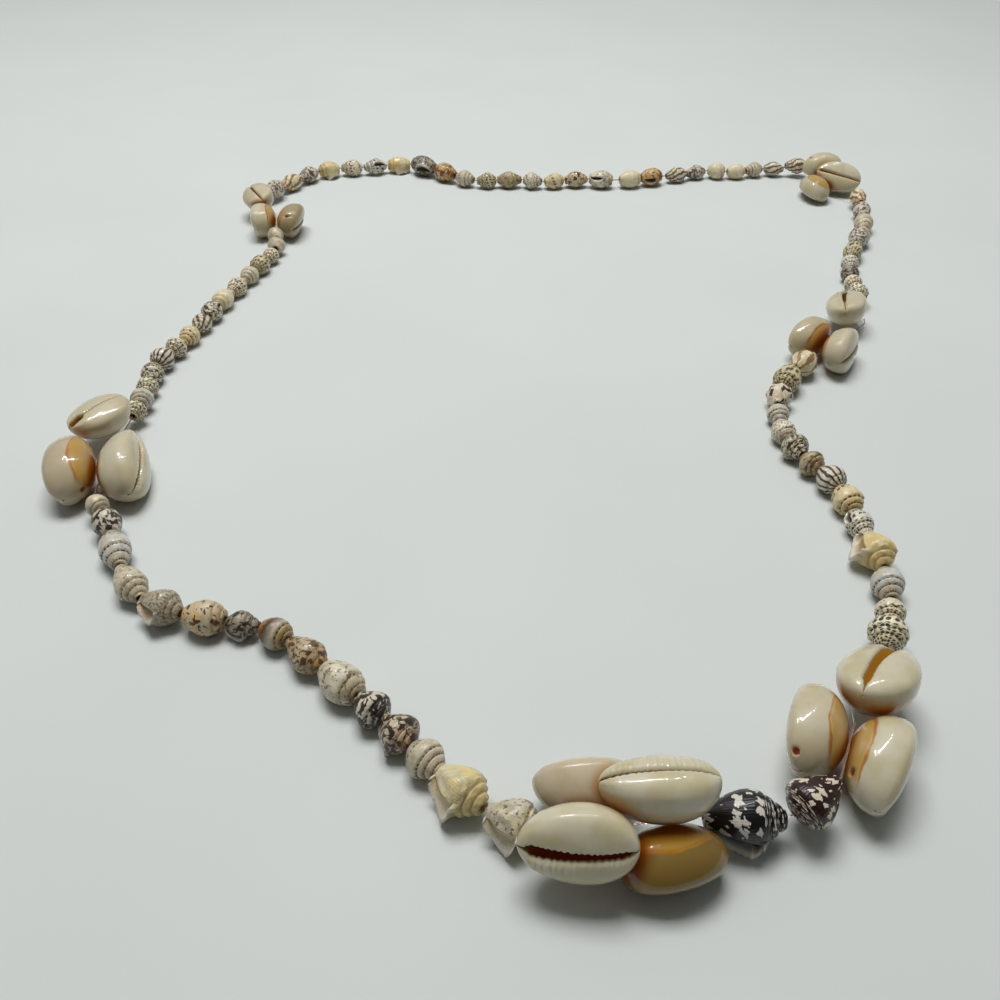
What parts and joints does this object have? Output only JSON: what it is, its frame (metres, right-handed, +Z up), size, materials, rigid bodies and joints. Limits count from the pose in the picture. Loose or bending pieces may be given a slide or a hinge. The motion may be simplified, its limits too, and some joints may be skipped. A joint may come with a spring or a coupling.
{
  "type": "necklace",
  "caption": "Cowrie shell necklace: bunches of glossy cowries joined by strings of small spotted shells on a clear thread, lying in a closed loop.",
  "frame": {"origin": "centre of the loop, on the table it lies on", "axes": "X to the right, Y away from the viewer across the loop, Z up"},
  "size_m": [0.2932, 0.3781, 0.0225],
  "materials": {
    "cowrie_shell": "glossy",
    "pale_shell": "glossy",
    "spotted_shell": "glossy",
    "black_shell": "glossy",
    "maroon_shell": "glossy",
    "clear_thread": "clear"
  },
  "bodies": {
    "root": {"cowrie_front_left": "cowrie_shell", "cowrie_front_back": "cowrie_shell", "cowrie_front_upper": "cowrie_shell", "cowrie_front_right": "cowrie_shell", "cowrie_right_low_upper": "cowrie_shell", "cowrie_right_low_left": "cowrie_shell", "cowrie_right_low_right": "cowrie_shell", "cowrie_left_mid_upper": "cowrie_shell", "cowrie_left_mid_left": "cowrie_shell", "cowrie_left_mid_right": "cowrie_shell", "cowrie_right_mid_upper": "cowrie_shell", "cowrie_right_mid_left": "cowrie_shell", "cowrie_right_mid_right": "cowrie_shell", "cowrie_right_far_back": "cowrie_shell", "cowrie_right_far_left": "cowrie_shell", "cowrie_right_far_right": "cowrie_shell", "cowrie_left_far_upper": "cowrie_shell", "cowrie_left_far_left": "cowrie_shell", "cowrie_left_far_right": "cowrie_shell", "shell_front_black": "black_shell", "shell_front_maroon": "maroon_shell", "shell_right_01": "spotted_shell", "shell_right_02": "pale_shell", "shell_right_03": "spotted_shell", "shell_right_04": "pale_shell", "shell_left_01": "pale_shell", "shell_left_02": "spotted_shell", "shell_left_03": "pale_shell", "shell_left_04": "pale_shell", "shell_left_05": "pale_shell", "shell_left_06": "pale_shell", "shell_left_07": "spotted_shell", "shell_left_08": "pale_shell", "shell_left_09": "pale_shell", "shell_left_10": "pale_shell", "shell_left_11": "spotted_shell", "shell_left_12": "spotted_shell", "shell_left_13": "pale_shell", "shell_left_14": "pale_shell", "shell_left_15": "pale_shell", "string_right": "pale_shell", "string_right_far": "spotted_shell", "string_far": "pale_shell", "string_left_far": "spotted_shell", "thread": "clear_thread"}
  },
  "joints": []
}
